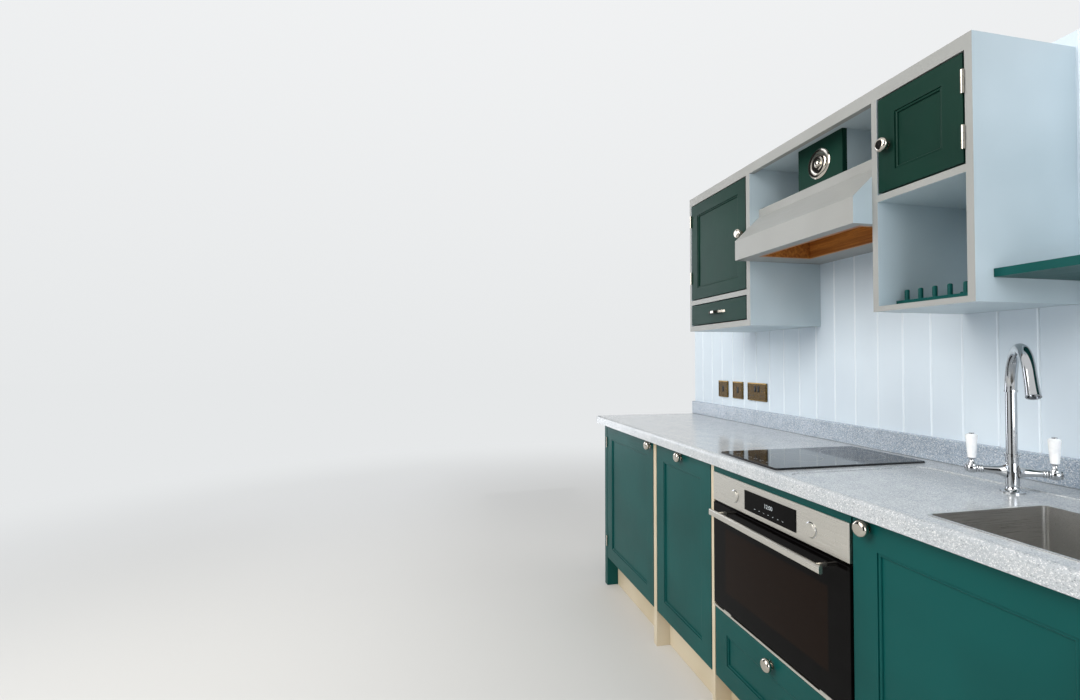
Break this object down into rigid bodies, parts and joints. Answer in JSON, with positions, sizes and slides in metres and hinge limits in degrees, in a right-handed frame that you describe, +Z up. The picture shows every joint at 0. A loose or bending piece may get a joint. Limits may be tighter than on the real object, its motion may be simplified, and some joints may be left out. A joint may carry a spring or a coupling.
{
  "type": "fitted kitchen wall bay",
  "caption": "Fitted kitchen run from a shepherd's hut on its boarded side wall, with sink, hob, oven, hood, wall cupboards, plate rack, hinged doors and drawers.",
  "frame": {"origin": "under the middle of the whole, on the floor", "axes": "+X along the wall towards the sink end, +Y into the wall away from the room, +Z up"},
  "size_m": [2.391, 0.702, 2.04],
  "materials": {
    "painted_lining": "pale grey-blue eggshell paint on boards",
    "sawn_timber": "sawn softwood",
    "stone": "speckled grey engineered stone, polished",
    "ceramic_glass": "black ceramic glass",
    "stainless": "brushed stainless steel",
    "tap_chrome": "polished chrome",
    "lever_china": "white glazed china",
    "green_paint": "dark green eggshell paint on timber",
    "cream_paint": "cream eggshell paint on timber",
    "birch_board": "lacquered birch board",
    "polished_nickel": "polished nickel",
    "oven_enamel": "dark vitreous enamel",
    "oven_glass": "black glass",
    "grey_paint": "pale grey eggshell paint on timber",
    "runner_steel": "zinc-plated steel",
    "oiled_oak": "oiled oak",
    "socket_brass": "antique brass"
  },
  "bodies": {
    "carcass": {"wall_lining": "painted_lining", "wall_battens": "sawn_timber", "worktop": "stone", "upstand": "stone", "hob": "ceramic_glass", "sink_bowl": "stainless", "sink_waste": "stainless", "tap_body": "tap_chrome", "end_panels": "green_paint", "gables": "cream_paint", "plinths": "cream_paint", "cabinet_floors": "birch_board", "cabinet_backs": "birch_board", "top_rails": "birch_board", "face_rails": "green_paint", "oven_shelf": "birch_board", "oven_body": "oven_enamel", "oven_control_panel": "stainless", "oven_display": "oven_glass", "oven_trim": "stainless", "upper_sides": "grey_paint", "upper_top": "grey_paint", "upper_rails": "grey_paint", "upper_shelves": "grey_paint", "hinge_leaves": "polished_nickel", "drawer_runners": "runner_steel", "hood_canopy": "grey_paint", "hood_lining": "oiled_oak", "open_shelf": "grey_paint", "duct_casing_front": "green_paint", "duct_casing_sides": "grey_paint", "plate_rack": "green_paint", "plate_rack_pegs": "green_paint", "side_shelf": "green_paint", "socket_plates": "socket_brass"},
    "far_door": {"far_door": "green_paint", "far_door_fittings": "polished_nickel"},
    "sink_door": {"sink_door": "green_paint", "sink_door_fittings": "polished_nickel"},
    "upper_far_door": {"upper_far_door": "green_paint", "upper_far_door_fittings": "polished_nickel"},
    "upper_near_door": {"upper_near_door": "green_paint", "upper_near_door_fittings": "polished_nickel"},
    "pull_out": {"pull_out_front": "green_paint", "pull_out_box": "birch_board", "pull_out_knob": "polished_nickel"},
    "oven_drawer": {"oven_drawer_front": "green_paint", "oven_drawer_box": "birch_board", "oven_drawer_knob": "polished_nickel"},
    "upper_drawer": {"upper_drawer_front": "green_paint", "upper_drawer_box": "birch_board", "upper_drawer_handle": "polished_nickel"},
    "oven_door": {"oven_door": "oven_glass", "oven_handle": "stainless"},
    "oven_knob_far": {"oven_knob_far": "stainless"},
    "oven_knob_near": {"oven_knob_near": "stainless"},
    "tap_spout": {"tap_spout": "tap_chrome"},
    "tap_lever_far": {"tap_lever_far": "lever_china"},
    "tap_lever_near": {"tap_lever_near": "lever_china"}
  },
  "joints": [
    {"name": "far_door_hinge", "type": "hinge", "parent": "carcass", "child": "far_door", "pos_m": [-1.08, -0.305, 0.5105], "axis": [0, 0, -1], "range_deg": [0, 100]},
    {"name": "sink_door_hinge", "type": "hinge", "parent": "carcass", "child": "sink_door", "pos_m": [1.111, -0.305, 0.5105], "axis": [0, 0, 1], "range_deg": [0, 100]},
    {"name": "upper_far_door_hinge", "type": "hinge", "parent": "carcass", "child": "upper_far_door", "pos_m": [-0.64, -0.033, 1.7355], "axis": [0, 0, -1], "range_deg": [0, 110]},
    {"name": "upper_near_door_hinge", "type": "hinge", "parent": "carcass", "child": "upper_near_door", "pos_m": [0.665, -0.033, 1.827], "axis": [0, 0, 1], "range_deg": [0, 110]},
    {"name": "pull_out_slide", "type": "slide", "parent": "carcass", "child": "pull_out", "axis": [0, -1, 0], "range_m": [0, 0.4]},
    {"name": "oven_drawer_slide", "type": "slide", "parent": "carcass", "child": "oven_drawer", "axis": [0, -1, 0], "range_m": [0, 0.4]},
    {"name": "upper_drawer_slide", "type": "slide", "parent": "carcass", "child": "upper_drawer", "axis": [0, -1, 0], "range_m": [0, 0.18]},
    {"name": "oven_door_hinge", "type": "hinge", "parent": "carcass", "child": "oven_door", "pos_m": [0.3095, -0.306, 0.402], "axis": [1, 0, 0], "range_deg": [0, 90]},
    {"name": "oven_knob_far_turn", "type": "hinge", "parent": "carcass", "child": "oven_knob_far", "pos_m": [0.1395, -0.306, 0.79], "axis": [0, -1, 0], "range_deg": [0, 270]},
    {"name": "oven_knob_near_turn", "type": "hinge", "parent": "carcass", "child": "oven_knob_near", "pos_m": [0.4795, -0.306, 0.79], "axis": [0, -1, 0], "range_deg": [0, 270]},
    {"name": "tap_spout_swivel", "type": "hinge", "parent": "carcass", "child": "tap_spout", "pos_m": [0.6645, 0.099, 1.0025], "axis": [0, 0, 1], "range_deg": [-60, 60]},
    {"name": "tap_lever_far_turn", "type": "hinge", "parent": "carcass", "child": "tap_lever_far", "pos_m": [0.61147, 0.04597, 0.9605], "axis": [0.7071, 0.7071, 0], "range_deg": [0, 90]},
    {"name": "tap_lever_near_turn", "type": "hinge", "parent": "carcass", "child": "tap_lever_near", "pos_m": [0.71753, 0.15203, 0.9605], "axis": [0.7071, 0.7071, 0], "range_deg": [0, 90]}
  ]
}
